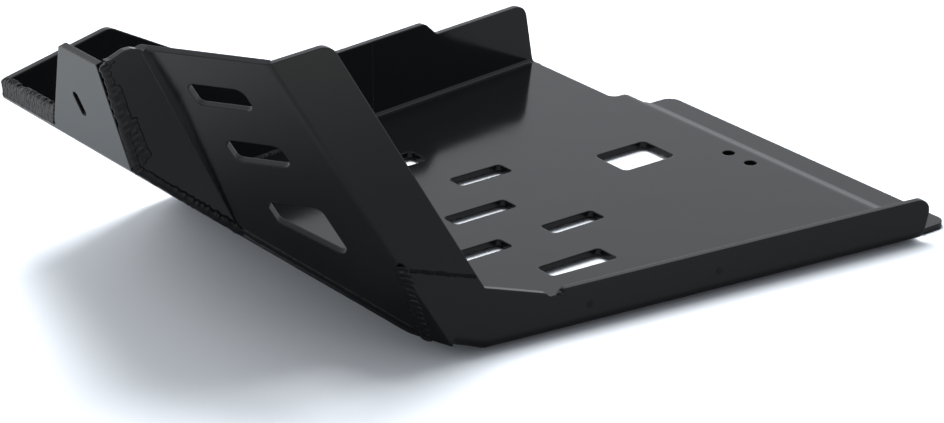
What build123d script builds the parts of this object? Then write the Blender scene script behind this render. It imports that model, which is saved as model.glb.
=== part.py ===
from build123d import *
import os
from math import cos, radians, sin, tan

os.makedirs("parts", exist_ok=True)

# An engine guard for a motorbike, folded and welded from black-coated aluminium plate.
# X points to the rear of the motorbike, +Y to its right side, +Z up, in millimetres.
# The origin lies on the underside of the flat floor, on the centreline, halfway along the flat.
# "Near" is the -Y side, which carries the tall wing, and "far" is the +Y side.

# Plate and folds
sheet = 4.0
fold_inside = 2.5
ramp_fold_inside = 10.0
wing_fold_outside = 5.0

# Floor: a flat between the first ramp fold and the rear step, then two ramp folds up to the nose
flat_front = -152.0
flat_rear = 152.0
half_width = 168.5
side_flare = 7.0
first_ramp_angle = 20.2
second_fold_x = -190.4
second_ramp_angle = 39.2
nose_x = -331.4

# Rear edge: a notch beside the far wall, then a shallow step down to a lip
far_rear_x = 141.5
notch_y = 97.0
notch_radius = 6.0
step_drop = 2.5
step_run = 6.5
lip_length = 18.8
lip_far_y = 79.5
lip_near_y = -177.3
lip_corner_radius = 8.0

# Front edge of the ramp: square to the centreline under the bracket, then slanting to the far tip
bracket_far_foot_y = 4.9
tip_x = -291.0

# Drain slots, in five columns about one centre, and the service window
slot_centre_x = -42.5
slot_width = 14.0
slot_corner = 3.0
middle_slot_length = 46.5
inner_slot_y = 45.5
inner_slot_length = 40.0
inner_slot_gap = 30.6
outer_slot_inner_y = 84.8
outer_slot_length = 47.0
outer_slot_front_width = 15.0
outer_slot_rear_width = 18.3
window_length = 41.0
window_width = 31.0
window_corner = 4.0
window_x = 89.0
window_y = 11.5

# Two rear fixing holes
fixing_hole_radius = 4.15
fixing_hole_x = 139.0
fixing_hole_y = -31.2
fixing_hole_spacing = 20.6

# Near side wall with a small relief notch, and its front part that climbs along the ramp
near_wall_height = 26.7
near_wall_rear_top_x = 153.5
near_wall_rear_foot_x = 147.0
near_wall_corner = 8.0
relief_x = -108.0
relief_length = 13.0
relief_depth = 2.7
gusset_shoulder_x = -153.7
gusset_shoulder_z = 39.1
gusset_peak_x = -158.2
gusset_peak_z = 46.8

# Far side wall: a low rear part, a step and a taller front part
far_wall_rear_height = 46.4
far_wall_front_height = 56.4
far_wall_rear_top_x = 133.3
far_wall_corner = 10.0
far_wall_step_rear_x = 52.6
far_wall_step_front_x = 41.8
far_wall_step_radius = 7.0
far_seam_x = -4.0

# Far front plate, welded on behind the seam and rising to a rounded peak
far_plate_rise_x = -97.5
far_plate_rise_radius = 27.0
far_plate_peak_x = -213.9
far_plate_peak_z = 120.7
far_plate_peak_radius = 12.0
far_plate_tip_z = 108.1
far_plate_tip_radius = 2.0

# Near wing: one plate folded into a cheek, a slanted middle facet and a side leaf
wing_top_x = -283.1
wing_top_z = 196.0
wing_foot_x = -205.5
wing_foot_z = 62.0
wing_turn = 56.0
leaf_corner_x = -245.8
leaf_corner_z = 200.1
leaf_corner_radius = 10.0
facet_seam_inset = 14.7
cheek_nose_y = -74.6
cheek_toe = 3.8
cheek_hump_length = 9.0
cheek_hump_height = 1.5
cheek_dip = 1.5

# Cut-outs of the middle facet, measured in its own plane below its top corner
cutout_fold_margin = 26.0
cutout_width = 32.5
cutout_height = 15.5
cutout_tops = [21.3, 61.0, 105.6]
cutout_corner = 4.0
cutout_large_corner = 7.0

# Front bracket: a plate that leans forward, with one slanted slot
bracket_lean = 14.5
bracket_height = 64.5
bracket_near_y = -74.0
bracket_top_near_y = -70.0
bracket_top_far_y = -32.4
bracket_corner = 4.0
bracket_slot_length = 14.5
bracket_slot_width = 5.5
bracket_slot_y = -36.3
bracket_slot_height = 29.0
bracket_slot_tilt = 21.0

# Weld beads: low caps over the seams, and a built-up strip along the slanted front edge
bead_sink = 3.0
seam_bead_width = 7.0
seam_bead_proud = 0.8
foot_bead_width = 7.0
foot_bead_proud = 1.2
bracket_bead_width = 9.0
bracket_bead_proud = 1.4
fold_bead_length = 6.0
corner_bead_width = 8.0
corner_bead_proud = 2.8
nose_bead_height = 13.0
nose_bead_depth = 5.0
nose_bead_proud = 1.0
nose_bead_radius = 2.0

# Reach of the cutting blocks past the guard
beyond = 60.0

flare = radians(side_flare)
first_slope = tan(radians(first_ramp_angle))
second_slope = tan(radians(second_ramp_angle))
near_side = Plane(
    origin=(0, -half_width, 0),
    x_dir=(cos(flare), -sin(flare), 0),
    z_dir=(-sin(flare), -cos(flare), 0),
)


def side_y(x):
    """Distance of a side wall's outer face from the centreline, at a place along the guard."""
    return half_width + x * tan(flare)


def ramp_z(x):
    """Height of the floor's underside at a place along the guard."""
    if x >= flat_front:
        return 0.0
    if x >= second_fold_x:
        return (flat_front - x) * first_slope
    return ramp_z(second_fold_x) + (second_fold_x - x) * second_slope


def on_near_side(x, z):
    """A point of the near side's outer plane."""
    return near_side.from_local_coords(Vector(x / cos(flare), z))


def plate_face(plane, corners, radii=0):
    """A flat outline with rounded corners, drawn in a plane."""
    return plane * make_face(FilletPolyline(*corners, radius=radii, close=True))


def plate(plane, corners, radii=0, thickness=sheet):
    """A plate whose outer face lies in the plane, thickened inward."""
    return extrude(plate_face(plane, corners, radii), amount=thickness, dir=plane.z_dir * -1)


def side_plate(corners, radii=0):
    """A plate in the near side's plane, outlined by places along the guard and heights."""
    return plate(near_side, [(x / cos(flare), z) for x, z in corners], radii)


def to_far_side(part):
    """A near-side piece carried over to the far side."""
    return mirror(part, about=Plane.XZ)


def distance_to_line(point, start, end):
    """Distance from a point to the line through two others."""
    along = (end - start).normalized()
    offset = point - start
    return (offset - along * offset.dot(along)).length


def edges_on(part, start, end):
    """The straight edges of a part that lie on the line through two points."""
    near_line = 0.05
    return [
        edge
        for edge in part.edges().filter_by(GeomType.LINE)
        if distance_to_line(edge @ 0, start, end) < near_line
        and distance_to_line(edge @ 1, start, end) < near_line
    ]


def bead_run(start, end, normal, width, proud):
    """A straight stretch of weld bead, rounded toward a normal, on a base sunk into the plates."""
    half = width / 2
    cap = ThreePointArc((-half, 0), (0, proud), (half, 0))
    base = Polyline((half, 0), (half, -bead_sink), (-half, -bead_sink), (-half, 0))
    along = (end - start).normalized()
    across = normal.cross(along)
    section = Plane(origin=start, x_dir=across, z_dir=along)
    return extrude(section * make_face(cap.edges() + base.edges()), amount=(end - start).length, dir=along)


def outside_plates(blank, sheets):
    """The part of a bead's blank that lies outside the plates."""
    for plate_solid in sheets:
        blank = blank - plate_solid
    return max(blank.solids(), key=lambda solid: solid.volume)


def bead(route, normals, width, proud, sheets):
    """A weld bead along a route, kept to the space that the plates leave free."""
    blank = Part()
    for start, end, normal in zip(route, route[1:], normals):
        blank += bead_run(start, end, normal, width, proud)
    return outside_plates(blank, sheets)


def cross_guard(face):
    """A block wider than the guard, from an outline seen from the side."""
    return extrude(Plane.XZ * face, amount=side_y(flat_rear) + beyond, both=True)


def underside_wire(nose):
    """The floor's underside seen from the side, from the lip forward to a given end."""
    corners = [
        (flat_rear + step_run + lip_length, -step_drop),
        (flat_rear + step_run, -step_drop),
        (flat_rear, 0),
        (flat_front, 0),
        (second_fold_x, ramp_z(second_fold_x)),
        (nose, ramp_z(nose)),
    ]
    outside = ramp_fold_inside + sheet
    return FilletPolyline(*corners, radius=[ramp_fold_inside, outside, outside, outside]).wires()[0]


def below(wire):
    """Everything under a line seen from the side."""
    start = wire @ 0
    end = wire @ 1
    deep = -beyond
    closing = Polyline((end.X, end.Y), (end.X, deep), (start.X, deep), (start.X, start.Y))
    return cross_guard(make_face(Wire(wire.edges() + closing.edges())))


long_underside = underside_wire(nose_x - beyond)
long_upper_side = long_underside.offset_2d(-sheet, side=Side.RIGHT, closed=False)
under_floor_top = below(long_upper_side)
under_floor_bottom = below(long_underside)

# The middle facet's plane, through the fold that it shares with the side leaf
wing_top = on_near_side(wing_top_x, wing_top_z)
wing_foot = on_near_side(wing_foot_x, wing_foot_z)
facet_across = Vector(cos(radians(wing_turn)), -sin(radians(wing_turn)), 0)
facet = Plane(origin=wing_top, x_dir=facet_across, z_dir=(wing_foot - wing_top).cross(facet_across))
facet_foot = facet.to_local_coords(wing_foot)

# The cheek's plane, nearly parallel to the centreline
toe = radians(cheek_toe)
cheek = Plane(
    origin=(nose_x, cheek_nose_y, 0),
    x_dir=(cos(toe), sin(toe), 0),
    z_dir=(sin(toe), -cos(toe), 0),
)

# The front bracket's plane, through the lower front edge of the ramp
lean = radians(bracket_lean)
bracket = Plane(
    origin=(nose_x, 0, ramp_z(nose_x)),
    x_dir=(0, -1, 0),
    z_dir=(-cos(lean), 0, -sin(lean)),
)


def leaf_fold(depth):
    """The fold between facet and leaf, in the facet's plane, at a depth below the top corner."""
    return Vector(depth * facet_foot.X / -facet_foot.Y, -depth)


def cheek_fold(depth):
    """The fold between facet and cheek, in the facet's plane, at a depth below the top corner."""
    level = facet.from_local_coords(Vector(0, -depth))
    across = (cheek.origin - level).dot(cheek.z_dir) / facet_across.dot(cheek.z_dir)
    return Vector(across, -depth)


def ramp_plane(fold_x, angle):
    """The plane of the underside of one stretch of the ramp, from the fold where it starts."""
    slope = radians(angle)
    return Plane(origin=(fold_x, 0, ramp_z(fold_x)), x_dir=(0, 1, 0), z_dir=(sin(slope), 0, cos(slope)))


first_ramp = ramp_plane(flat_front, first_ramp_angle)
second_ramp = ramp_plane(second_fold_x, second_ramp_angle)

# Where the wing's folds and seams come down to the underside of the ramp
gusset_foot = first_ramp.intersect(Axis(wing_top, wing_foot - wing_top))
facet_seam_x = facet.to_local_coords(gusset_foot).X - facet_seam_inset
seam_foot = first_ramp.intersect(
    Axis(facet.from_local_coords(Vector(facet_seam_x, 0)), facet.y_dir)
)
facet_knee = facet.intersect(Axis((second_fold_x, 0, ramp_z(second_fold_x)), (0, 1, 0)))
cheek_top = facet.from_local_coords(cheek_fold(0))
cheek_foot = second_ramp.intersect(
    Axis(cheek_top, facet.from_local_coords(cheek_fold(wing_top_z)) - cheek_top)
)


def slot_cut(x, y, length):
    """A straight drain slot through the floor."""
    face = Pos(x, y) * RectangleRounded(length, slot_width, slot_corner)
    return extrude(face, amount=beyond, both=True)


def outer_slot_cut(side):
    """A drain slot of the outermost column, which widens to the rear with the floor."""
    front = slot_centre_x - outer_slot_length / 2
    rear = slot_centre_x + outer_slot_length / 2
    corners = [
        (front, side * outer_slot_inner_y),
        (rear, side * outer_slot_inner_y),
        (rear, side * (outer_slot_inner_y + outer_slot_rear_width)),
        (front, side * (outer_slot_inner_y + outer_slot_front_width)),
    ]
    face = make_face(FilletPolyline(*corners, radius=slot_corner, close=True))
    return extrude(face, amount=beyond, both=True)


def floor_blank():
    """The folded floor sheet without its side walls, cut to its outline."""
    step_x = flat_rear + fold_inside / 2
    lip_x = flat_rear + step_run + lip_length
    corners = [
        (far_rear_x, side_y(far_rear_x), 0),
        (far_rear_x, notch_y, notch_radius),
        (step_x, notch_y, fold_inside),
        (step_x, lip_far_y, 0),
        (lip_x, lip_far_y, lip_corner_radius),
        (lip_x, lip_near_y, lip_corner_radius),
        (near_wall_rear_foot_x, lip_near_y, 0),
        (near_wall_rear_foot_x, -side_y(near_wall_rear_foot_x), 0),
        (gusset_foot.X, gusset_foot.Y, 0),
        (facet_knee.X, facet_knee.Y, 0),
        (cheek_foot.X, cheek_foot.Y, 0),
        (nose_x, cheek_nose_y, 0),
        (nose_x, bracket_far_foot_y, 0),
        (tip_x, side_y(tip_x), 0),
    ]
    points = [(x, y) for x, y, radius in corners]
    radii = [radius for x, y, radius in corners]
    face = make_face(FilletPolyline(*points, radius=radii, close=True))
    return cross_guard(floor_section) & extrude(face, amount=wing_top_z, both=True)


def floor_cuts():
    """Drain slots, service window and fixing holes."""
    cuts = slot_cut(slot_centre_x, 0, middle_slot_length)
    spread = (inner_slot_gap + inner_slot_length) / 2
    for side in (-1, 1):
        cuts += outer_slot_cut(side)
        for x in (slot_centre_x - spread, slot_centre_x + spread):
            cuts += slot_cut(x, side * inner_slot_y, inner_slot_length)
    window = Pos(window_x, window_y) * RectangleRounded(window_length, window_width, window_corner)
    cuts += extrude(window, amount=beyond, both=True)
    for side in (-1, 1):
        y = fixing_hole_y + side * fixing_hole_spacing / 2
        cuts += Pos(fixing_hole_x, y) * Cylinder(fixing_hole_radius, 2 * beyond)
    return cuts


def along_side(face_corners, radii, front_x, rear_x):
    """A bar along the near side, from its section in inward distances and heights."""
    section_plane = Plane(
        origin=on_near_side(front_x, 0), x_dir=near_side.z_dir * -1, z_dir=near_side.x_dir
    )
    face = section_plane * make_face(FilletPolyline(*face_corners, radius=radii, close=True))
    return extrude(face, amount=(rear_x - front_x) / cos(flare), dir=near_side.x_dir)


def folded_side(wall, front_x, rear_x, height):
    """A side wall folded up from the floor's edge, and the block of floor that it replaces."""
    margin = 3 * sheet
    outside = fold_inside + sheet
    angle = [(0, height), (0, 0), (margin, 0), (margin, sheet), (sheet, sheet), (sheet, height)]
    fold = along_side(angle, [0, outside, 0, 0, fold_inside, 0], front_x, rear_x)
    corners = [(-sheet, height), (-sheet, -sheet), (margin, -sheet), (margin, height)]
    block = along_side(corners, 0, front_x, rear_x)
    outline = [(x / cos(flare), z) for x, z in wall[0]]
    face = near_side * make_face(FilletPolyline(*outline, radius=wall[1], close=True))
    return fold & extrude(face, amount=margin, dir=near_side.z_dir * -1), block


def outside_corner(front, rear):
    """What the rounding takes off the near side's lower outer edge, between two of its points."""
    radius = fold_inside + sheet
    middle = radius * (cos(radians(45)) - 1)
    arc = ThreePointArc((-radius, 0), (middle, middle), (0, -radius))
    around = Polyline((0, -radius), (sheet, -radius), (sheet, sheet), (-radius, sheet), (-radius, 0))
    section = Plane(origin=front, x_dir=near_side.z_dir, z_dir=rear - front)
    return extrude(section * make_face(arc.edges() + around.edges()), amount=(rear - front).length)


near_wall_outline = [
    (near_wall_rear_foot_x, 0),
    (near_wall_rear_top_x, near_wall_height),
    (relief_x + relief_length / 2, near_wall_height),
    (relief_x + relief_length / 4, near_wall_height - relief_depth),
    (relief_x - relief_length / 4, near_wall_height - relief_depth),
    (relief_x - relief_length / 2, near_wall_height),
    (gusset_shoulder_x, gusset_shoulder_z),
    (gusset_peak_x, gusset_peak_z),
    (wing_foot_x, wing_foot_z),
    (gusset_foot.X, gusset_foot.Z),
    (flat_front, 0),
]
near_wall_radii = [0, near_wall_corner, 0, 0, 0, 0, 0, 0, 0, 0, 0]
far_wall_outline = [
    (far_seam_x, 0),
    (far_seam_x, far_wall_front_height),
    (far_wall_step_front_x, far_wall_front_height),
    (far_wall_step_rear_x, far_wall_rear_height),
    (far_wall_rear_top_x, far_wall_rear_height),
    (far_rear_x, 0),
]
far_wall_radii = [0, 0, far_wall_step_radius, far_wall_step_radius, far_wall_corner, 0]

floor_section = make_face(underside_wire(nose_x).offset_2d(-sheet, side=Side.RIGHT, closed=True))
fold_start_x = flat_front + ramp_fold_inside
near_fold, near_block = folded_side(
    (near_wall_outline, near_wall_radii), fold_start_x, near_wall_rear_top_x, wing_foot_z
)
far_fold, far_block = folded_side(
    (far_wall_outline, far_wall_radii), far_seam_x, far_rear_x, far_wall_front_height + sheet
)

# The gusset wraps round the line of the wing's fold with a small return in the facet's plane
seam_top = facet.to_local_coords(wing_foot)
seam_low = facet.to_local_coords(seam_foot)
gusset_low = facet.to_local_coords(gusset_foot)
below_gusset = gusset_low.Y - 2 * sheet
return_plate = plate(
    facet,
    [
        (seam_top.X, seam_top.Y),
        (leaf_fold(-below_gusset).X, below_gusset),
        (seam_low.X, below_gusset),
        (seam_low.X, seam_low.Y),
    ],
)
gusset = side_plate(near_wall_outline, near_wall_radii) - near_block
floor_pan = floor_blank() - near_block - to_far_side(far_block)
floor_pan = floor_pan + (gusset + return_plate - under_floor_bottom)
side_foot = on_near_side(flat_front, 0)
floor_pan = floor_pan - outside_corner(side_foot, on_near_side(fold_start_x, 0))
floor_pan = floor_pan - outside_corner(gusset_foot, side_foot)
floor_pan = floor_pan + near_fold + to_far_side(far_fold)

bracket_outline = [
    (-bracket_near_y, 0),
    (-bracket_top_near_y, bracket_height),
    (-bracket_top_far_y, bracket_height),
    (-bracket_far_foot_y, 0),
]
slot_outline = SlotOverall(bracket_slot_length, bracket_slot_width, rotation=90 + bracket_slot_tilt)
slot_face = bracket * (Pos(-bracket_slot_y, bracket_slot_height) * slot_outline)
front_bracket = plate(bracket, bracket_outline, [0, 0, bracket_corner, 0])
front_bracket = front_bracket - extrude(slot_face, amount=sheet, dir=bracket.z_dir * -1)
floor_pan = floor_pan - front_bracket - floor_cuts()


def before_bracket(depth):
    """Everything in front of a plane that lies at a depth behind the bracket's front face."""
    side = 2 * side_y(flat_rear)
    return extrude(bracket.offset(-depth) * Rectangle(side, side), amount=side, dir=bracket.z_dir)


def facet_cutout(index):
    """One cut-out of the middle facet, its sides parallel to the leaf's fold."""
    top = cutout_tops[index]
    right_top = leaf_fold(top) - Vector(cutout_fold_margin, 0)
    right_foot = leaf_fold(top + cutout_height) - Vector(cutout_fold_margin, 0)
    if index == len(cutout_tops) - 1:
        edge = facet.to_local_coords(facet_knee) - facet.to_local_coords(cheek_foot)
        fall = -edge.Y / edge.X
        right_foot = leaf_fold(top + cutout_height + fall * cutout_width)
        right_foot = right_foot - Vector(cutout_fold_margin, 0)
    left_top = right_top - Vector(cutout_width, 0)
    left_foot = leaf_fold(top + cutout_height) - Vector(cutout_fold_margin + cutout_width, 0)
    corners = [right_top, right_foot, left_foot, left_top]
    points = [(corner.X, corner.Y) for corner in corners]
    radii = [cutout_large_corner, cutout_corner, cutout_corner, cutout_corner]
    return plate(facet, points, radii)


cheek_top_local = cheek.to_local_coords(cheek_top)
cheek_foot_local = cheek.to_local_coords(cheek_foot)
facet_top = cheek_fold(0)
facet_low = cheek_fold(wing_top_z)
facet_outer = plate_face(
    facet,
    [
        (facet_top.X, 0),
        (0, 0),
        (seam_top.X, seam_top.Y),
        (seam_low.X, seam_low.Y),
        (facet_low.X, facet_low.Y),
    ],
)
facet_plate = extrude(facet_outer, amount=sheet, dir=facet.z_dir * -1)
leaf = side_plate(
    [
        (wing_top_x, wing_top_z),
        (leaf_corner_x, leaf_corner_z),
        (gusset_peak_x, gusset_peak_z),
        (wing_foot_x, wing_foot_z),
    ],
    [0, leaf_corner_radius, 0, 0],
)
hump_x = cheek_top_local.X - cheek_hump_length
cheek_outer = plate_face(
    cheek,
    [
        (cheek_top_local.X, cheek_top_local.Y),
        (hump_x + cheek_hump_length / 2, cheek_top_local.Y + cheek_hump_height),
        (hump_x, cheek_top_local.Y + cheek_hump_height),
        (hump_x - cheek_hump_length, cheek_top_local.Y - cheek_dip),
        (-beyond, cheek_top_local.Y - cheek_dip),
        (-beyond, 0),
        (cheek_foot_local.X, 0),
        (cheek_foot_local.X, cheek_foot_local.Y),
    ],
    [0, 0, cheek_hump_length / 2, cheek_hump_length / 2, 0, 0, 0, 0],
)
cheek_plate = extrude(cheek_outer, amount=sheet, dir=cheek.z_dir * -1)
cheek_plate = cheek_plate - before_bracket(sheet)
cheek_fold_length = (facet_low - facet_top).length
fold_round = Cylinder(sheet, cheek_fold_length, align=(Align.CENTER, Align.CENTER, Align.MIN))
fold_round = Plane(origin=cheek_top, z_dir=cheek_foot - cheek_top) * fold_round
fold_round = fold_round - extrude(facet_outer, amount=2 * sheet, dir=facet.z_dir)
fold_round = fold_round - extrude(cheek_outer, amount=2 * sheet, dir=cheek.z_dir)
near_wing = facet_plate + leaf + cheek_plate + fold_round
for index in range(len(cutout_tops)):
    near_wing = near_wing - facet_cutout(index)
near_wing = fillet(edges_on(near_wing, wing_top, wing_foot), radius=wing_fold_outside)
near_wing = near_wing - under_floor_top - floor_pan

far_front_plate = to_far_side(
    side_plate(
        [
            (far_seam_x, 0),
            (far_seam_x, far_wall_front_height),
            (far_plate_rise_x, far_wall_front_height),
            (far_plate_peak_x, far_plate_peak_z),
            (tip_x, far_plate_tip_z),
            (tip_x, ramp_z(tip_x)),
            (second_fold_x, ramp_z(second_fold_x)),
            (flat_front, 0),
        ],
        [0, 0, far_plate_rise_radius, far_plate_peak_radius, far_plate_tip_radius, 0, 0, 0],
    )
)
far_front_plate = far_front_plate - under_floor_top

plates = [floor_pan, near_wing, far_front_plate, front_bracket]
nose_foot = Vector(nose_x, cheek_nose_y, ramp_z(nose_x))


def far_foot(x):
    """A point of the inside corner between the floor and the far front plate."""
    return Vector(x, side_y(x) - sheet / cos(flare), ramp_z(x) + sheet)


def halfway(first, second):
    """The direction halfway between two others."""
    return (first + second).normalized()


up = Vector(0, 0, 1)
far_inward = Vector(sin(flare), -cos(flare), 0)
round_inset = (fold_inside + sheet) * (1 - cos(radians(45)))
fold_bead_middle = side_foot + (up - near_side.z_dir) * round_inset
fold_bead_reach = halfway(near_side.z_dir, up) * (fold_bead_length / 2)
bracket_seam_foot = bracket.offset(-sheet).intersect(Axis(nose_foot, cheek.x_dir))
bracket_seam = bracket.z_dir.cross(cheek.z_dir).normalized() * bracket_height

# Each bead's route, its rounded side along each stretch, its width and its height over the seam
bead_routes = {
    "leaf_seam_bead": (
        [on_near_side(gusset_peak_x, gusset_peak_z), wing_foot],
        [near_side.z_dir],
        seam_bead_width,
        seam_bead_proud,
    ),
    "facet_seam_bead": ([wing_foot, seam_foot], [facet.z_dir], seam_bead_width, seam_bead_proud),
    "wing_foot_bead": (
        [corner + up * (foot_bead_width / 2) for corner in (seam_foot, facet_knee, cheek_foot, nose_foot)],
        [facet.z_dir, facet.z_dir, cheek.z_dir],
        foot_bead_width,
        foot_bead_proud,
    ),
    "bracket_side_bead": (
        [bracket_seam_foot, bracket_seam_foot + bracket_seam],
        [cheek.z_dir],
        bracket_bead_width,
        bracket_bead_proud,
    ),
    "near_fold_bead": (
        [fold_bead_middle - fold_bead_reach, fold_bead_middle + fold_bead_reach],
        [halfway(near_side.z_dir, up * -1)],
        seam_bead_width,
        seam_bead_proud,
    ),
    "far_foot_bead": (
        [far_foot(x) for x in (far_seam_x, flat_front, second_fold_x, tip_x)],
        [
            halfway(far_inward, up),
            halfway(far_inward, first_ramp.z_dir),
            halfway(far_inward, second_ramp.z_dir),
        ],
        corner_bead_width,
        corner_bead_proud,
    ),
}

# The built-up strip stands on the slanted front edge, from behind the bracket to the far tip
nose_edge_start = Vector(nose_x, bracket_far_foot_y, ramp_z(nose_x))
nose_edge_end = Vector(tip_x, side_y(tip_x), ramp_z(tip_x))
nose_edge = (nose_edge_end - nose_edge_start).normalized()
bracket_slant = (bracket_far_foot_y - bracket_top_far_y) / bracket_height
nose_reach = nose_bead_height * bracket_slant
nose_section = Plane(
    origin=nose_edge_start - nose_edge * nose_reach,
    x_dir=up.cross(nose_edge),
    z_dir=nose_edge,
)
nose_profile = Pos(nose_bead_proud - nose_bead_depth / 2, nose_bead_height / 2) * RectangleRounded(
    nose_bead_depth, nose_bead_height, nose_bead_radius
)
nose_length = (nose_edge_end - nose_edge_start).length + nose_reach
nose_strip = extrude(nose_section * nose_profile, amount=nose_length, dir=nose_edge)

beads = {"nose_edge_bead": outside_plates(nose_strip - before_bracket(0), plates)}
for name, (route, normals, width, proud) in bead_routes.items():
    beads[name] = bead(route, normals, width, proud, plates + list(beads.values()))

pieces = {
    "floor_pan": floor_pan,
    "near_wing": near_wing,
    "far_front_plate": far_front_plate,
    "front_bracket": front_bracket,
    **beads,
}
for name, piece in pieces.items():
    export_step(piece, f"parts/{name}.step")
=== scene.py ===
import math
import random

import bpy
from mathutils import Matrix, Vector


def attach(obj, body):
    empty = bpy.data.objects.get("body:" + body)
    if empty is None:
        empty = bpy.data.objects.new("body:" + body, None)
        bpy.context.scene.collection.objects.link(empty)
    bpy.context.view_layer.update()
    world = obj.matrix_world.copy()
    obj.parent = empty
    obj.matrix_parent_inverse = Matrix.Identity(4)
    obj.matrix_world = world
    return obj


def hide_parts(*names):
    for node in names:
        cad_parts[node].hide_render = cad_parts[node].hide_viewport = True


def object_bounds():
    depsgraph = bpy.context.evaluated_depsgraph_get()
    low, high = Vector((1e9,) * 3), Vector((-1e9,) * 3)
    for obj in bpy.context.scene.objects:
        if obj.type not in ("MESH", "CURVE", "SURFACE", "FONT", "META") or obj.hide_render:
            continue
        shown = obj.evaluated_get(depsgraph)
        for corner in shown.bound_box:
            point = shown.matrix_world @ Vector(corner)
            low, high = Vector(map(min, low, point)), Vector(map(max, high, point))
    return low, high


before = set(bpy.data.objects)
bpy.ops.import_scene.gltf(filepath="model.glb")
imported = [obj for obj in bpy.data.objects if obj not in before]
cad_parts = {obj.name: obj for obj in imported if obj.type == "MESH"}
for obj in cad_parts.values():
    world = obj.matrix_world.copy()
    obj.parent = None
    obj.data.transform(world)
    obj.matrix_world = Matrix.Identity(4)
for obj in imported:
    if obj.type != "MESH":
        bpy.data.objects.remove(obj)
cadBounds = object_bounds()
print("frame loaded")

bpy.ops.object.select_all(action="DESELECT")


# Powder coat: nearly black and glossy, with a fine orange peel and softly rounded cut edges
coat = {
    "colour": (0.0042, 0.0045, 0.005, 1.0),
    "roughness": 0.12,
    "roughnessSpread": 0.05,
    "index": 1.43,
    "edgeSamples": 6,
    "peelScale": 900.0,
    "peelStrength": 0.03,
    "peelDepth": 0.0004,
    "waveScale": 28.0,
    "waveStrength": 0.03,
    "waveDepth": 0.004,
    "blotchScale": 11.0,
}
# The weld finishes' lower gloss is painted shade: the same coat made less reflective to stand in for shade
# among the weld ripples
finishes = {
    "coatedPlate": {"peel": 1, "rougher": 0.0, "gloss": 0.5, "edgeRadius": 0.0011},
    "coatedShadedWeld": {"peel": 8, "rougher": 0.14, "gloss": 0.34, "edgeRadius": 0},
    "coatedRoughShadedWeld": {"peel": 12, "rougher": 0.25, "gloss": 0.12, "edgeRadius": 0},
}


def newMaterial(name):
    material = bpy.data.materials.new(name)
    material.use_nodes = True
    material.node_tree.nodes.clear()
    return material


def addNode(tree, kind, place, **settings):
    node = tree.nodes.new(kind)
    node.location = place
    for key, value in settings.items():
        setattr(node, key, value)
    return node


# Broad patches vary the roughness, a fine noise is the orange peel and a coarse one the slow waves under it
def coatMaterial(name):
    finish = finishes[name]
    roughness = coat["roughness"] + finish["rougher"]
    material = newMaterial(name)
    tree = material.node_tree
    link = tree.links.new
    output = addNode(tree, "ShaderNodeOutputMaterial", (900, 0))
    shader = addNode(tree, "ShaderNodeBsdfPrincipled", (600, 0))
    place = addNode(tree, "ShaderNodeTexCoord", (-900, 0))
    peel = addNode(tree, "ShaderNodeTexNoise", (-600, -200))
    peel.inputs["Scale"].default_value = coat["peelScale"]
    peel.inputs["Detail"].default_value = 2.0
    wave = addNode(tree, "ShaderNodeTexNoise", (-600, -450))
    wave.inputs["Scale"].default_value = coat["waveScale"]
    wave.inputs["Detail"].default_value = 1.0
    blotch = addNode(tree, "ShaderNodeTexNoise", (-600, 150))
    blotch.inputs["Scale"].default_value = coat["blotchScale"]
    blotch.inputs["Detail"].default_value = 3.0
    spread = addNode(tree, "ShaderNodeMapRange", (-300, 150))
    spread.inputs["To Min"].default_value = roughness - coat["roughnessSpread"]
    spread.inputs["To Max"].default_value = roughness + coat["roughnessSpread"]
    fineBump = addNode(tree, "ShaderNodeBump", (-50, -200))
    fineBump.inputs["Strength"].default_value = finish["peel"] * coat["peelStrength"]
    fineBump.inputs["Distance"].default_value = coat["peelDepth"]
    broadBump = addNode(tree, "ShaderNodeBump", (250, -300))
    broadBump.inputs["Strength"].default_value = coat["waveStrength"]
    broadBump.inputs["Distance"].default_value = coat["waveDepth"]
    if finish["edgeRadius"]:
        rounding = addNode(tree, "ShaderNodeBevel", (-300, -600), samples=coat["edgeSamples"])
        rounding.inputs["Radius"].default_value = finish["edgeRadius"]
        link(rounding.outputs["Normal"], fineBump.inputs["Normal"])
    shader.inputs["Base Color"].default_value = coat["colour"]
    shader.inputs["IOR"].default_value = coat["index"]
    shader.inputs["Specular IOR Level"].default_value = finish["gloss"]
    for texture in (peel, wave, blotch):
        link(place.outputs["Object"], texture.inputs["Vector"])
    link(blotch.outputs["Fac"], spread.inputs["Value"])
    link(spread.outputs["Result"], shader.inputs["Roughness"])
    link(peel.outputs["Fac"], fineBump.inputs["Height"])
    link(wave.outputs["Fac"], broadBump.inputs["Height"])
    link(fineBump.outputs["Normal"], broadBump.inputs["Normal"])
    link(broadBump.outputs["Normal"], shader.inputs["Normal"])
    link(shader.outputs["BSDF"], output.inputs["Surface"])
    return material


plateMaterial = coatMaterial("coatedPlate")
shadedWeldMaterial = coatMaterial("coatedShadedWeld")
roughShadedWeldMaterial = coatMaterial("coatedRoughShadedWeld")
print("materials made")


def dress(node, material):
    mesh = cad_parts[node].data
    mesh.materials.clear()
    mesh.materials.append(material)


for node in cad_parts:
    dress(node, shadedWeldMaterial if node.endswith("_bead") else plateMaterial)
print("nodes dressed")


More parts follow.
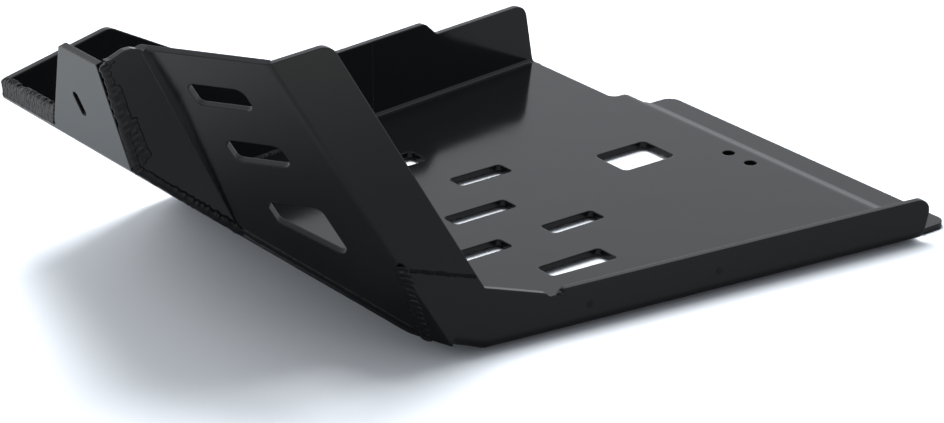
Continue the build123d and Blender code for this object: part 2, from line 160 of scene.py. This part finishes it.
# Weld beads: overlapping drops of metal in rows, fused into one rippled surface for each bead
weld = {
    "dropSegments": 10,
    "dropRings": 6,
    "dropFlattening": 0.96,
    "lean": 22.0,
    "overlap": 1.25,
    "buriedShare": 1.35,
    "buriedDepth": 0.0005,
    "sizeSpread": 0.14,
    "placeSpread": 0.00025,
    "seed": 7,
    "voxel": 0.0005,
    "smoothing": 2,
    "smoothFactor": 0.5,
}
bpy.ops.mesh.primitive_uv_sphere_add(
    segments=weld["dropSegments"], ring_count=weld["dropRings"], radius=1.0
)
drop = bpy.context.object
drop.name = "drop"
bpy.ops.object.mode_set(mode="EDIT")
bpy.ops.mesh.select_all(action="SELECT")
bpy.ops.transform.resize(value=(1.0, 1.0, weld["dropFlattening"]))
bpy.ops.object.mode_set(mode="OBJECT")
bpy.ops.object.select_all(action="DESELECT")
chance = random.Random(weld["seed"])


# A copy of the drop, with its length, width and height in size, leaning back along the run by some degrees
def addDrop(place, along, normal, size, lean=weld["lean"]):
    along = Vector(along)
    normal = Vector(normal)
    copy = drop.copy()
    copy.data = drop.data.copy()
    bpy.context.collection.objects.link(copy)
    across = normal.cross(along).normalized()
    turned = Matrix((along, across, normal)).transposed().to_4x4()
    leaning = Matrix.Rotation(math.radians(lean), 4, "Y")
    scale = Matrix.Diagonal(Vector(size).to_4d())
    scale[3][3] = 1.0
    copy.matrix_world = Matrix.Translation(Vector(place)) @ turned @ leaning @ scale
    return copy


# Drops along a straight run: each stands proud of the surface, and its widest part is buried in it
def dropRow(start, end, normal, width, proud, pitch, lean=weld["lean"]):
    start = Vector(start)
    end = Vector(end)
    normal = Vector(normal).normalized()
    along = (end - start).normalized()
    across = normal.cross(along).normalized()
    depth = weld["buriedShare"] * proud + weld["buriedDepth"]
    halfWidth = width / 2 / math.sqrt(1 - ((depth - proud) / depth) ** 2)
    count = max(2, round((end - start).length / pitch))
    drops = []
    for index in range(count + 1):
        grow = 1 + chance.uniform(-weld["sizeSpread"], weld["sizeSpread"])
        shift = chance.uniform(-weld["placeSpread"], weld["placeSpread"])
        place = start.lerp(end, index / count) - normal * (depth - proud) + across * shift
        size = (weld["overlap"] * pitch, halfWidth * grow, depth * grow)
        drops.append(addDrop(place, along, normal, size, lean))
    return drops


# Joins the drops into one closed skin on the guard's body
def fuse(name, parts, voxel=weld["voxel"], material=shadedWeldMaterial):
    bpy.ops.object.select_all(action="DESELECT")
    for part in parts:
        part.select_set(True)
    bpy.context.view_layer.objects.active = parts[0]
    bpy.ops.object.join()
    piece = bpy.context.object
    piece.name = name
    piece.data.name = name
    bpy.ops.object.transform_apply(location=True, rotation=True, scale=True)
    remesh = piece.modifiers.new("fused", "REMESH")
    remesh.mode = "VOXEL"
    remesh.voxel_size = voxel
    bpy.ops.object.modifier_apply(modifier=remesh.name)
    relax = piece.modifiers.new("relaxed", "SMOOTH")
    relax.iterations = weld["smoothing"]
    relax.factor = weld["smoothFactor"]
    bpy.ops.object.modifier_apply(modifier=relax.name)
    bpy.ops.object.shade_smooth()
    piece.data.materials.clear()
    piece.data.materials.append(material)
    bpy.ops.object.select_all(action="DESELECT")
    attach(piece, "root")
    return piece


# Outward normals of the near wing's faces, the direction of the near wall and the upright
wallAlong = (0.9925, -0.1219, 0)
upright = (0, 0, 1)
leafOut = (-0.1219, -0.9925, 0.0)
facetOut = (-0.7587, -0.5118, -0.403)
cheekOut = (0.0663, -0.9978, 0.0)
weldRuns = {
    "leafWeld": {
        "node": "leaf_seam_bead",
        "route": [(-0.1608, -0.14876, 0.0477), (-0.2050, -0.14333, 0.0618)],
        "normals": [leafOut],
        "width": 0.0026,
        "proud": 0.0005,
        "pitch": 0.0021,
        "material": roughShadedWeldMaterial,
        "lumps": [
            ((-0.1889, -0.1453, 0.0566), 0.0013),
            ((-0.1868, -0.1456, 0.0559), 0.0011),
            ((-0.1916, -0.1450, 0.0575), 0.0010),
        ],
    },
    "facetWeld": {
        "node": "facet_seam_bead",
        "route": [(-0.2050, -0.1429, 0.0610), (-0.18386, -0.13576, 0.01172)],
        "normals": [facetOut],
        "width": 0.0072,
        "proud": 0.0004,
        "pitch": 0.0044,
        "lean": 20.0,
        "lumps": [((-0.2048, -0.1429, 0.0608), 0.0024), ((-0.2031, -0.1431, 0.0602), 0.0017)],
    },
    "wingFootWeld": {
        "node": "wing_foot_bead",
        "route": [
            (-0.18386, -0.13576, 0.01522),
            (-0.1904, -0.12796, 0.01763),
            (-0.25957, -0.06983, 0.07404),
            (-0.3262, -0.07418, 0.12843),
        ],
        "normals": [facetOut, facetOut, cheekOut],
        "width": 0.0054,
        "proud": 0.0009,
        "pitch": 0.0022,
    },
    "bracketWeld": {
        "node": "bracket_side_bead",
        "route": [(-0.3281, -0.0742, 0.1300), (-0.3448, -0.0751, 0.1905)],
        "normals": [(-0.2, -0.98, -0.05)],
        "width": 0.0050,
        "proud": 0.0006,
        "pitch": 0.0019,
        "lean": 0.0,
        "sideRows": [
            ((-0.3240, -0.0741, 0.1325), (-0.3385, -0.0751, 0.1780)),
            ((-0.3214, -0.0740, 0.1350), (-0.3290, -0.0745, 0.1570)),
        ],
        "lumps": [
            ((-0.3441, -0.0722, 0.1895), 0.0029),
            ((-0.3426, -0.0733, 0.1914), 0.0026),
            ((-0.3400, -0.0737, 0.1930), 0.0020),
        ],
    },
    "foldWeld": {
        "node": "near_fold_bead",
        "route": [(-0.1514, -0.1448, 0.0018), (-0.1519, -0.1480, 0.0050)],
        "normals": [(-0.0862, -0.7018, -0.7071)],
        "width": 0.005,
        "proud": 0.0002,
        "pitch": 0.0026,
    },
    "farFootWeld": {
        "node": "far_foot_bead",
        "route": [
            (-0.004, 0.16398, 0.004),
            (-0.152, 0.14581, 0.004),
            (-0.1904, 0.14109, 0.0196),
            (-0.2895, 0.12874, 0.1015),
        ],
        "normals": [(0.0862, -0.7018, 0.7071), (0.3236, -0.6875, 0.6501), (0.5137, -0.6763, 0.528)],
        "width": 0.0058,
        "proud": 0.0015,
        "pitch": 0.0026,
    },
}
for name, run in weldRuns.items():
    bead = (run["width"], run["proud"], run["pitch"], run.get("lean", weld["lean"]))
    drops = []
    for start, end, normal in zip(run["route"], run["route"][1:], run["normals"]):
        drops += dropRow(start, end, normal, *bead)
    for start, end in run.get("sideRows", []):
        drops += dropRow(start, end, run["normals"][0], *bead)
    for place, radius in run.get("lumps", []):
        drops.append(addDrop(place, (0, 1, 0), upright, (radius, radius, radius)))
    piece = fuse(name, drops, material=run.get("material", shadedWeldMaterial))
    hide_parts(run["node"])
print("weld beads laid")


# The built-up front edge: a rounded core under four rough passes, and a ragged pass along its top
nose = {
    "start": (-0.3314, 0.0049, 0.12913),
    "along": (0.2926, 0.926, -0.2386),
    "out": (-0.9535, 0.3013, 0.0),
    "up": (0.0719, 0.2275, 0.9711),
    "length": 0.1375,
    "coreShortening": 0.001,
    "coreDepth": 0.0038,
    "coreHeight": 0.0108,
    "coreLift": 0.0003,
    "coreBevel": 0.0009,
    "coreBevelSegments": 3,
    "passHeights": [0.0028, 0.0050, 0.0072, 0.0094],
    "passWidth": 0.0034,
    "passProud": 0.0008,
    "passLead": 0.001,
    "passEndGap": 0.0015,
    "pitch": 0.0026,
    "topPitchShare": 0.9,
    "topLead": 0.004,
    "topHeight": 0.0112,
    "topRagged": (-0.0012, 0.0008),
    "topInset": 0.0019,
    "topRadius": 0.0014,
    "topSizes": (0.8, 1.25),
    "topShape": (1.5, 1.45, 1.0),
    "bracketSlant": 0.58,
}
noseStart = Vector(nose["start"])
noseAlong = Vector(nose["along"]).normalized()
noseOut = Vector(nose["out"]).normalized()
noseUp = Vector(nose["up"]).normalized()
bpy.ops.mesh.primitive_cube_add(size=1.0)
core = bpy.context.object
bpy.ops.object.mode_set(mode="EDIT")
bpy.ops.mesh.select_all(action="SELECT")
coreLength = nose["length"] - nose["coreShortening"]
bpy.ops.transform.resize(value=(coreLength, nose["coreDepth"], nose["coreHeight"]))
bpy.ops.mesh.bevel(offset=nose["coreBevel"], segments=nose["coreBevelSegments"], affect="EDGES")
bpy.ops.object.mode_set(mode="OBJECT")
coreFrame = Matrix((noseAlong, noseOut * -1, noseUp)).transposed().to_4x4()
coreRise = nose["coreHeight"] / 2 + nose["coreLift"]
coreMiddle = noseStart + noseAlong * (nose["length"] / 2) + noseUp * coreRise
core.matrix_world = Matrix.Translation(coreMiddle - noseOut * (nose["coreDepth"] / 2)) @ coreFrame
noseDrops = [core]
for height in nose["passHeights"]:
    reach = height * nose["bracketSlant"]  # the bracket's edge leans away, so higher passes start sooner
    start = noseStart + noseUp * height - noseAlong * (reach - nose["passLead"])
    end = noseStart + noseUp * height + noseAlong * (nose["length"] - nose["passEndGap"])
    noseDrops += dropRow(start, end, noseOut, nose["passWidth"], nose["passProud"], nose["pitch"])
topCount = round(nose["length"] / (nose["topPitchShare"] * nose["pitch"]))
for index in range(topCount + 1):
    travel = nose["length"] * index / topCount - nose["topLead"]
    ragged = chance.uniform(*nose["topRagged"])
    radius = nose["topRadius"] * chance.uniform(*nose["topSizes"])
    rise = nose["topHeight"] + ragged
    place = noseStart + noseAlong * travel + noseUp * rise - noseOut * nose["topInset"]
    size = [share * radius for share in nose["topShape"]]
    noseDrops.append(addDrop(place, noseAlong, noseUp, size))
noseWeld = fuse("noseWeld", noseDrops, material=roughShadedWeldMaterial)
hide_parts("nose_edge_bead")
print("front edge built up")


# Two lumps where the near wall's relief notch ends
reliefLumps = {
    "places": [(-0.1022, -0.1549, 0.0257), (-0.1052, -0.1552, 0.0240)],
    "sizes": [(0.0030, 0.0014, 0.0013), (0.0026, 0.0012, 0.0010)],
    "voxel": 0.0003,
}
lumps = []
for place, size in zip(reliefLumps["places"], reliefLumps["sizes"]):
    lumps.append(addDrop(place, wallAlong, upright, size))
fuse("reliefWeld", lumps, reliefLumps["voxel"])

# Two faint round marks on the outside of the near wall
sideMarks = {
    "places": [(-0.0852, -0.15804, 0.0134), (0.0019, -0.16873, 0.0136)],
    "size": (0.0026, 0.0026, 0.0004),
    "voxel": 0.0002,
}
marks = [addDrop(place, wallAlong, leafOut, sideMarks["size"], 0) for place in sideMarks["places"]]
fuse("sideMarks", marks, sideMarks["voxel"])

bpy.data.objects.remove(drop, do_unlink=True)
print("small welds laid")


# Paper floor: white around the guard where it is seen; painted reflection: for reflected rays its colour is
# set dimmer in front and brighter to the side, so the coat mirrors a darker floor in front and a brighter
# one to the side
paper = {
    "size": 12.0,
    "colour": (0.58, 0.6, 0.62, 1.0),
    "seen": (0.94, 0.98, 1.03, 1.0),
    "paintedReflectionFront": (0.27, 0.28, 0.295, 1.0),
    "paintedReflectionSide": (0.76, 0.81, 0.85, 1.0),
    "sideFrom": -0.25,
    "sideTo": -0.50,
    "fadeFrom": 0.36,
    "fadeTo": 0.75,
    "distantGlow": 1.02,
}


def paperMaterial():
    material = newMaterial("floorPaper")
    tree = material.node_tree
    link = tree.links.new
    output = addNode(tree, "ShaderNodeOutputMaterial", (700, 0))
    nearPaper = addNode(tree, "ShaderNodeBsdfDiffuse", (100, 100))
    distantPaper = addNode(tree, "ShaderNodeEmission", (100, -100))
    distantPaper.inputs["Strength"].default_value = paper["distantGlow"]
    place = addNode(tree, "ShaderNodeTexCoord", (-700, 0))
    radius = addNode(tree, "ShaderNodeVectorMath", (-500, 0), operation="LENGTH")
    fade = addNode(tree, "ShaderNodeMapRange", (-300, 0), interpolation_type="SMOOTHSTEP")
    fade.inputs["From Min"].default_value = paper["fadeFrom"]
    fade.inputs["From Max"].default_value = paper["fadeTo"]
    mix = addNode(tree, "ShaderNodeMixShader", (400, 0))
    axes = addNode(tree, "ShaderNodeSeparateXYZ", (-500, 300))
    sideward = addNode(tree, "ShaderNodeMapRange", (-300, 300), interpolation_type="SMOOTHSTEP")
    sideward.inputs["From Min"].default_value = paper["sideFrom"]
    sideward.inputs["From Max"].default_value = paper["sideTo"]
    path = addNode(tree, "ShaderNodeLightPath", (-300, 600))
    # Painted reflection: the floor colour for reflected rays only, dim in front and bright to the side
    # along X
    mirrored = addNode(tree, "ShaderNodeMixRGB", (-200, 300))
    mirrored.inputs["Color1"].default_value = paper["paintedReflectionFront"]
    mirrored.inputs["Color2"].default_value = paper["paintedReflectionSide"]
    unseen = addNode(tree, "ShaderNodeMixRGB", (-50, 300))
    unseen.inputs["Color1"].default_value = paper["colour"]
    seen = addNode(tree, "ShaderNodeMixRGB", (-50, 500))
    seen.inputs["Color2"].default_value = paper["seen"]
    link(place.outputs["Object"], axes.inputs["Vector"])
    link(axes.outputs["X"], sideward.inputs["Value"])
    link(sideward.outputs["Result"], mirrored.inputs["Fac"])
    link(path.outputs["Is Glossy Ray"], unseen.inputs["Fac"])
    link(mirrored.outputs["Color"], unseen.inputs["Color2"])
    link(path.outputs["Is Camera Ray"], seen.inputs["Fac"])
    link(unseen.outputs["Color"], seen.inputs["Color1"])
    link(seen.outputs["Color"], nearPaper.inputs["Color"])
    link(place.outputs["Object"], radius.inputs[0])
    link(radius.outputs["Value"], fade.inputs["Value"])
    link(fade.outputs["Result"], mix.inputs["Fac"])
    link(nearPaper.outputs["BSDF"], mix.inputs[1])
    link(distantPaper.outputs["Emission"], mix.inputs[2])
    link(mix.outputs["Shader"], output.inputs["Surface"])
    return material


bpy.ops.mesh.primitive_plane_add(size=paper["size"], location=(0, 0, cadBounds[0][2]))
floor = bpy.context.object
floor.name = "floor"
floor.data.materials.append(paperMaterial())
print("floor laid")


# Studio sky: bright on the far side and along the horizon, dim above the near side, white where it is seen
skyLight = {
    "colour": (0.955, 0.99, 1.04, 1.0),
    "farDirection": (0.606, 0.795, 0.0),
    "farRadiance": 0.85,
    "nearRadiance": 0.36,
    "turnFrom": -0.25,
    "turnTo": 0.4,
    "horizonRadiance": 1.0,
    "horizonFrom": 0.06,
    "horizonTo": 0.3,
    "seenRadiance": 1.05,
}


def buildSky():
    world = bpy.data.worlds.new("studioSky")
    world.use_nodes = True
    tree = world.node_tree
    tree.nodes.clear()
    link = tree.links.new
    output = addNode(tree, "ShaderNodeOutputWorld", (800, 0))
    sky = addNode(tree, "ShaderNodeBackground", (500, 100))
    sky.inputs["Color"].default_value = skyLight["colour"]
    backdrop = addNode(tree, "ShaderNodeBackground", (500, -100))
    backdrop.inputs["Strength"].default_value = skyLight["seenRadiance"]
    path = addNode(tree, "ShaderNodeLightPath", (500, 400))
    mix = addNode(tree, "ShaderNodeMixShader", (650, 0))
    place = addNode(tree, "ShaderNodeTexCoord", (-500, 0))
    farward = addNode(tree, "ShaderNodeVectorMath", (-300, 0), operation="DOT_PRODUCT")
    farward.inputs[1].default_value = skyLight["farDirection"]
    axes = addNode(tree, "ShaderNodeSeparateXYZ", (-500, 300))
    horizon = addNode(tree, "ShaderNodeMapRange", (-300, 300), interpolation_type="SMOOTHSTEP")
    horizon.inputs["From Min"].default_value = skyLight["horizonFrom"]
    horizon.inputs["From Max"].default_value = skyLight["horizonTo"]
    horizon.inputs["To Min"].default_value = skyLight["horizonRadiance"]
    horizon.inputs["To Max"].default_value = skyLight["nearRadiance"]
    radiance = addNode(tree, "ShaderNodeMapRange", (-100, 0), interpolation_type="SMOOTHSTEP")
    radiance.inputs["From Min"].default_value = skyLight["turnFrom"]
    radiance.inputs["From Max"].default_value = skyLight["turnTo"]
    radiance.inputs["To Max"].default_value = skyLight["farRadiance"]
    link(place.outputs["Generated"], axes.inputs["Vector"])
    link(axes.outputs["Z"], horizon.inputs["Value"])
    link(horizon.outputs["Result"], radiance.inputs["To Min"])
    link(place.outputs["Generated"], farward.inputs[0])
    link(farward.outputs["Value"], radiance.inputs["Value"])
    link(radiance.outputs["Result"], sky.inputs["Strength"])
    link(path.outputs["Is Camera Ray"], mix.inputs["Fac"])
    link(sky.outputs["Background"], mix.inputs[1])
    link(backdrop.outputs["Background"], mix.inputs[2])
    link(mix.outputs["Shader"], output.inputs["Surface"])
    return world


bpy.context.scene.world = buildSky()


# Two soft panels: the side one is mirrored in the coat, the top one only lights
panels = {
    "sidePanel": {
        "place": (-1.0, 0.75, 0.8),
        "aim": (-0.3, 0.1, 0.0),
        "size": 0.8,
        "power": 6.0,
        "mirrored": True,
    },
    "topPanel": {
        "place": (-0.1, 0.26, 1.58),
        "aim": (-0.05, 0.0, 0.0),
        "size": 0.9,
        "power": 30.0,
        "mirrored": False,
    },
}
for name, panel in panels.items():
    light = bpy.data.lights.new(name, "AREA")
    light.shape = "RECTANGLE"
    light.size = panel["size"]
    light.size_y = panel["size"]
    light.energy = panel["power"]
    lamp = bpy.data.objects.new(name, light)
    bpy.context.collection.objects.link(lamp)
    lamp.location = panel["place"]
    facing = Vector(panel["aim"]) - Vector(panel["place"])
    lamp.rotation_euler = facing.to_track_quat("-Z", "Y").to_euler()
    lamp.visible_glossy = panel["mirrored"]
print("studio built")


# Camera: the photograph's direction, distance and field of view
shot = {
    "target": (-0.046, 0.0035, 0.004),
    "turn": 37.31,
    "elevation": 23.47,
    "distance": 2.0606,
    "lens": 129.66,
    "sensorWidth": 36.0,
    "farthest": 50.0,
}
turn = math.radians(shot["turn"])
elevation = math.radians(shot["elevation"])
level = math.cos(elevation)
towardCamera = Vector((-level * math.sin(turn), -level * math.cos(turn), math.sin(elevation)))
cameraData = bpy.data.cameras.new("camera")
cameraData.lens = shot["lens"]
cameraData.sensor_width = shot["sensorWidth"]
cameraData.clip_end = shot["farthest"]
camera = bpy.data.objects.new("camera", cameraData)
bpy.context.collection.objects.link(camera)
camera.location = Vector(shot["target"]) + towardCamera * shot["distance"]
camera.rotation_euler = (-towardCamera).to_track_quat("-Z", "Y").to_euler()
bpy.context.scene.camera = camera
print("camera placed")

bpy.context.scene.view_settings.view_transform = "Standard"
bpy.context.scene.view_settings.look = "None"
